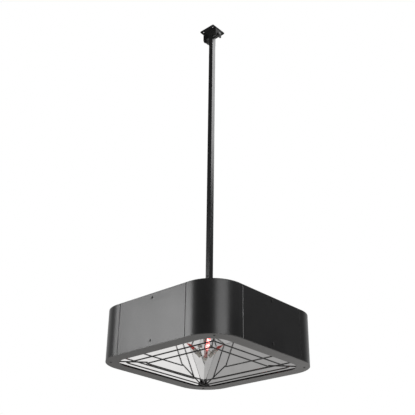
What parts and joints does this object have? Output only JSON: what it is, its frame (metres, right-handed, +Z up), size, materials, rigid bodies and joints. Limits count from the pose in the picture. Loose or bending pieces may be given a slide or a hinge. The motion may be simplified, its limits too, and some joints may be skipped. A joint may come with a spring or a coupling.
{
  "type": "hanging patio heater",
  "caption": "Ceiling-hung infrared heater: square rounded housing with a mirrored reflector, one glowing lamp and a wire guard, on a sectioned square pole with a swivel bracket.",
  "frame": {"origin": "centre of the ceiling plate's top face", "axes": "+Z up, away from the housing; X and Y along the sides of the square housing; the swivel bolt runs along Y"},
  "size_m": [0.5644, 0.5644, 1.456],
  "materials": {
    "bracket_paint": "satin powder coat",
    "pole_paint": "satin powder coat",
    "housing_paint": "satin powder coat",
    "rim_paint": "satin powder coat",
    "black_screw": "blackened",
    "zinc_steel": "zinc plated",
    "inner_steel": "galvanised",
    "mirror_sheet": "bright anodised",
    "guard_wire": "black enamel",
    "ruby_glass": "tinted quartz",
    "hot_filament": "glowing",
    "white_ceramic": "matte",
    "clip_steel": "spring steel",
    "lead_sleeve": "glass-fibre sleeve",
    "black_nylon": "moulded",
    "circuit_board": "board"
  },
  "bodies": {
    "ceiling_bracket": {"ceiling_plate": "bracket_paint", "swivel_bracket": "bracket_paint", "pivot_bolt": "zinc_steel", "pivot_washers": "zinc_steel", "pivot_nut": "zinc_steel"},
    "heater": {"swivel_head": "pole_paint", "swivel_bushes": "black_nylon", "upper_tube": "pole_paint", "middle_tube": "pole_paint", "lower_tube": "pole_paint", "stub_tube": "pole_paint", "joint_plugs": "zinc_steel", "joint_screws": "black_screw", "pole_flange": "pole_paint", "doubler_plate": "zinc_steel", "flange_bolts": "zinc_steel", "flange_nuts": "zinc_steel", "top_cover": "housing_paint", "corner_cover_far": "housing_paint", "corner_cover_left": "housing_paint", "corner_cover_near": "housing_paint", "corner_cover_right": "housing_paint", "side_panel_x_high": "housing_paint", "side_panel_y_high": "housing_paint", "side_panel_x_low": "housing_paint", "side_panel_y_low": "housing_paint", "panel_screws": "black_screw", "seam_strips": "inner_steel", "lower_rails": "inner_steel", "upper_rails": "inner_steel", "bottom_rim": "rim_paint", "corner_blocks": "inner_steel", "rim_screws": "black_screw", "reflector_x_high": "mirror_sheet", "reflector_y_high": "mirror_sheet", "reflector_x_low": "mirror_sheet", "reflector_y_low": "mirror_sheet", "reflector_top": "mirror_sheet", "reflector_studs": "zinc_steel", "stud_screws": "zinc_steel", "heat_shield": "inner_steel", "guard_outer_wires": "guard_wire", "guard_inner_wires": "guard_wire", "guard_diagonals": "guard_wire", "lamp_tube": "ruby_glass", "lamp_filament": "hot_filament", "lamp_caps": "white_ceramic", "lamp_clips": "clip_steel", "lamp_leads": "lead_sleeve", "control_box": "inner_steel", "control_board": "circuit_board", "board_parts": "black_nylon", "terminal_block": "white_ceramic", "cable_gland": "black_nylon"}
  },
  "joints": [
    {"name": "pole_swivel", "type": "hinge", "parent": "ceiling_bracket", "child": "heater", "pos_m": [0, 0, -0.027], "axis": [0, 1, 0], "range_deg": [-45, 45]}
  ]
}
